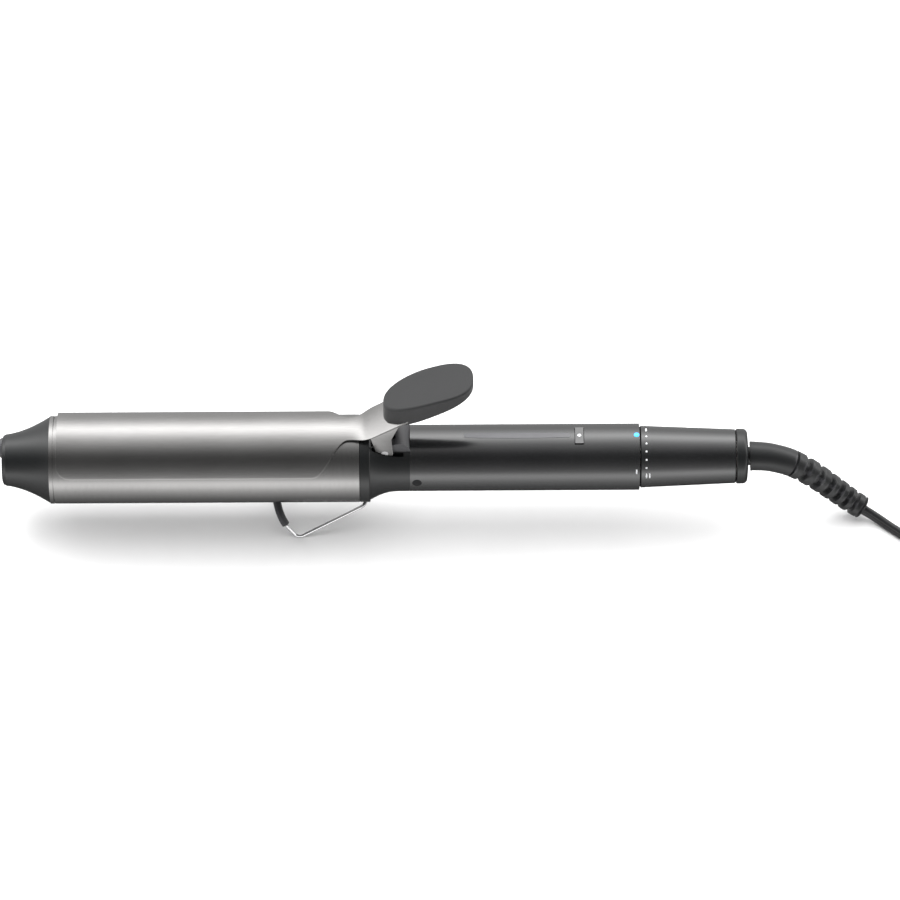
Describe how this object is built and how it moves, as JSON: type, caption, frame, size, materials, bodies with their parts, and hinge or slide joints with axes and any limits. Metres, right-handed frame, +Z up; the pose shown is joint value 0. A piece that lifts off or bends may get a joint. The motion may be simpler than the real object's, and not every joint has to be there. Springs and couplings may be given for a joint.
{
  "type": "curling iron",
  "caption": "Clamp-type curling iron lying on its wire stand: heated barrel, cool tip, sprung clamp, thumb rest, dial handle, swivel cord in a tied hank.",
  "frame": {"origin": "middle of the iron's own footprint (without its cord) on the table that the stand's feet rest on", "axes": "+X along the iron from the cool tip to the cord, +Z up through the thumb rest, +Y to the side away from the viewer"},
  "size_m": [0.6154, 0.0513, 0.0904],
  "materials": {
    "black_plastic": "moulded heat-proof black plastic, fine satin texture",
    "satin_black": "satin black moulded plastic",
    "grey_plastic": "dark grey moulded plastic",
    "soft_grey": "soft-touch dark grey thumb rest",
    "barrel_coat": "satin titanium-grey coating on an aluminium tube",
    "clamp_coat": "satin titanium-grey coating on spring sheet steel",
    "steel": "bright zinc-plated steel",
    "bright_wire": "bright plated spring wire",
    "aluminium": "extruded aluminium",
    "ceramic": "pale fired ceramic",
    "sleeve_rubber": "heat-proof silicone sleeve",
    "blue_lens": "blue lit lens",
    "inner_plastic": "plain inner moulding",
    "board": "green printed board",
    "component": "small electronic parts",
    "contact_brass": "spring brass",
    "lead_jacket": "silicone wire jacket",
    "cord_rubber": "black flexible cord jacket",
    "tie_strap": "black hook-and-loop strap",
    "pin_metal": "nickel-plated pins"
  },
  "bodies": {
    "iron": {"cool_tip": "black_plastic", "tip_plug": "grey_plastic", "barrel_lip": "barrel_coat", "barrel_tube": "barrel_coat", "heater_plate": "ceramic", "spreader_upper": "aluminium", "spreader_lower": "aluminium", "thermistor": "ceramic", "thermal_fuse": "steel", "barrel_insulator": "ceramic", "collar": "black_plastic", "collar_screws": "steel", "hinge_block": "grey_plastic", "hinge_pin": "steel", "torsion_spring": "steel", "handle_sleeve": "satin_black", "chassis_upper": "inner_plastic", "chassis_lower": "inner_plastic", "board_screws": "steel", "control_board": "board", "board_parts": "component", "tact_switch": "component", "indicator_ring": "satin_black", "indicator_lamp": "blue_lens", "led_lens": "blue_lens", "dial_hub": "inner_plastic", "end_cap": "black_plastic", "brush_holder": "inner_plastic", "brush_contacts": "contact_brass", "heater_leads": "lead_jacket", "mains_leads": "lead_jacket"},
    "clamp": {"clamp": "clamp_coat", "thumb_rest": "soft_grey", "thumb_rest_screws": "steel"},
    "stand": {"stand_wire": "bright_wire", "stand_sleeve": "sleeve_rubber"},
    "button": {"power_button": "grey_plastic"},
    "dial": {"temperature_dial": "satin_black", "dial_wiper": "contact_brass"},
    "cord": {"swivel_stem": "inner_plastic", "slip_rings": "contact_brass", "strain_relief": "cord_rubber", "cord_tube": "cord_rubber", "cord_hank": "cord_rubber", "cord_tail": "cord_rubber", "cord_tie": "tie_strap", "plug_body": "cord_rubber", "plug_pins": "pin_metal"}
  },
  "joints": [
    {"name": "clamp_hinge", "type": "hinge", "parent": "iron", "child": "clamp", "pos_m": [0.0045, 0, 0.049], "axis": [0, 1, 0], "range_deg": [0, 25], "stiffness_Nm_per_rad": 0.4, "springref_deg": -34.38, "deforming": ["torsion_spring"]},
    {"name": "stand_pivot", "type": "hinge", "parent": "iron", "child": "stand", "pos_m": [-0.0042, 0, 0.0212], "axis": [0, -1, 0], "range_deg": [0, 80]},
    {"name": "button_press", "type": "slide", "parent": "iron", "child": "button", "axis": [0, 0, -1], "range_m": [0, 0.0008], "stiffness_N_per_m": 600, "springref_m": -0.0008},
    {"name": "dial_turn", "type": "hinge", "parent": "iron", "child": "dial", "pos_m": [0.1354, 0, 0.036], "axis": [1, 0, 0], "range_deg": [0, 108]},
    {"name": "cord_swivel", "type": "hinge", "parent": "iron", "child": "cord", "pos_m": [0.1616, 0, 0.036], "axis": [1, 0, 0], "continuous": true}
  ]
}
